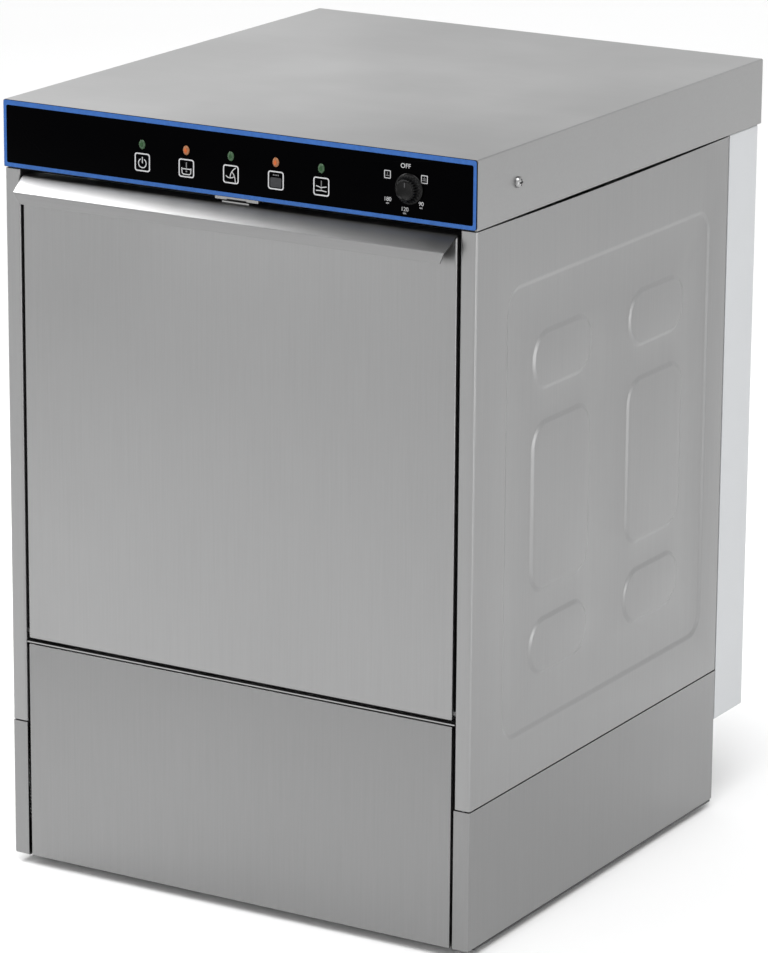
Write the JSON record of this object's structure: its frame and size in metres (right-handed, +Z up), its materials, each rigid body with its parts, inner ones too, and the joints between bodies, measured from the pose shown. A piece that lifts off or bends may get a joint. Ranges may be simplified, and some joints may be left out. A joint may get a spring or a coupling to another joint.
{
  "type": "undercounter commercial dishwasher",
  "caption": "Undercounter commercial dishwasher with a drop-down door, spray arms, tank filters and a front control strip under a stainless lid.",
  "frame": {"origin": "on the floor, under the middle of the machine's bounding box", "axes": "+Z up, the door and controls face -Y, +X is the machine's right-hand side seen from the front"},
  "size_m": [0.579, 0.6524, 0.8454],
  "materials": {
    "brushed_steel": "vertical fine brushed stainless sheet, satin",
    "plain_steel": "mill-finish stainless, dull",
    "spring_steel": "bright zinc-plated wire",
    "white_sheet": "white powder coat, satin",
    "fascia_film": "glossy black printed film with a blue border and white signs",
    "green_lens": "translucent green lens, unlit",
    "amber_lens": "translucent amber lens",
    "black_plastic": "moulded black plastic, fine texture",
    "grey_plastic": "moulded grey plastic",
    "seal_rubber": "black moulded seal",
    "hose_rubber": "black reinforced hose",
    "motor_paint": "dark grey motor enamel"
  },
  "bodies": {
    "chassis": {"top_cover": "brushed_steel", "control_panel": "brushed_steel", "side_panel_left": "brushed_steel", "side_panel_right": "brushed_steel", "base_chassis": "brushed_steel", "lower_front_panel": "brushed_steel", "front_rail": "brushed_steel", "chamber_liner": "brushed_steel", "wash_tank": "brushed_steel", "rack_rail_left": "brushed_steel", "rack_rail_right": "brushed_steel", "cover_screw_left": "plain_steel", "cover_screw_right": "plain_steel", "rear_panel": "plain_steel", "door_catch": "plain_steel", "hinge_bracket_left": "plain_steel", "hinge_bracket_right": "plain_steel", "lower_spindle": "plain_steel", "riser_pipe": "plain_steel", "rinse_boiler": "plain_steel", "tank_heater": "plain_steel", "door_spring_left": "spring_steel", "door_spring_right": "spring_steel", "rear_cover": "white_sheet", "fascia_overlay": "fascia_film", "lamp_power": "green_lens", "lamp_wash": "green_lens", "lamp_boiler_heat": "green_lens", "lamp_tank_heat": "amber_lens", "lamp_rinse": "amber_lens", "selector_switch": "grey_plastic", "relay_box": "grey_plastic", "door_gasket": "seal_rubber", "pump_volute": "black_plastic", "pump_motor": "motor_paint", "lower_feed_pipe": "hose_rubber", "rinse_hose": "hose_rubber", "inlet_valve": "grey_plastic", "drain_elbow": "black_plastic", "cable_gland": "black_plastic", "foot_front_left": "black_plastic", "foot_front_right": "black_plastic", "foot_rear_left": "black_plastic", "foot_rear_right": "black_plastic"},
    "door": {"door_outer_skin": "brushed_steel", "door_inner_liner": "brushed_steel", "door_handle": "brushed_steel", "door_strike": "plain_steel", "door_hinge_left": "plain_steel", "door_hinge_right": "plain_steel"},
    "knob": {"program_knob": "black_plastic"},
    "lower_wash_spin": {"wash_arm_lower": "brushed_steel"},
    "lower_rinse_spin": {"rinse_arm_lower": "brushed_steel"},
    "upper_wash_spin": {"wash_arm_upper": "brushed_steel"},
    "upper_rinse_spin": {"rinse_arm_upper": "brushed_steel"},
    "pump_shaft": {"pump_rotor": "plain_steel"},
    "left_tray": {"filter_tray_left": "brushed_steel"},
    "right_tray": {"filter_tray_right": "brushed_steel"},
    "strainer": {"sump_strainer": "brushed_steel"},
    "standpipe": {"overflow_pipe": "grey_plastic"}
  },
  "joints": [
    {"name": "door_hinge", "type": "hinge", "parent": "chassis", "child": "door", "pos_m": [0, -0.29675, 0.2645], "axis": [1, 0, 0], "range_deg": [0, 90], "stiffness_Nm_per_rad": 6, "springref_deg": -17.19},
    {"name": "knob_turn", "type": "hinge", "parent": "chassis", "child": "knob", "pos_m": [0.2078, -0.30575, 0.808], "axis": [0, 1, 0], "range_deg": [0, 300]},
    {"name": "lower_wash_arm_spin", "type": "hinge", "parent": "chassis", "child": "lower_wash_spin", "pos_m": [0, -0.01137, 0.294], "axis": [0, 0, 1], "continuous": true},
    {"name": "lower_rinse_arm_spin", "type": "hinge", "parent": "chassis", "child": "lower_rinse_spin", "pos_m": [0, -0.01137, 0.3115], "axis": [0, 0, 1], "continuous": true},
    {"name": "upper_wash_arm_spin", "type": "hinge", "parent": "chassis", "child": "upper_wash_spin", "pos_m": [0, -0.01137, 0.723], "axis": [0, 0, 1], "continuous": true},
    {"name": "upper_rinse_arm_spin", "type": "hinge", "parent": "chassis", "child": "upper_rinse_spin", "pos_m": [0, -0.01137, 0.7045], "axis": [0, 0, 1], "continuous": true},
    {"name": "pump_shaft_spin", "type": "hinge", "parent": "chassis", "child": "pump_shaft", "pos_m": [0.122, -0.01137, 0.158], "axis": [1, 0, 0], "continuous": true},
    {"name": "left_tray_lift", "type": "slide", "parent": "chassis", "child": "left_tray", "axis": [0, 0, 1], "range_m": [0, 0.02]},
    {"name": "right_tray_lift", "type": "slide", "parent": "chassis", "child": "right_tray", "axis": [0, 0, 1], "range_m": [0, 0.02]},
    {"name": "strainer_lift", "type": "slide", "parent": "chassis", "child": "strainer", "axis": [0, 0, 1], "range_m": [0, 0.02]},
    {"name": "standpipe_lift", "type": "slide", "parent": "chassis", "child": "standpipe", "axis": [0, 0, 1], "range_m": [0, 0.02]}
  ]
}
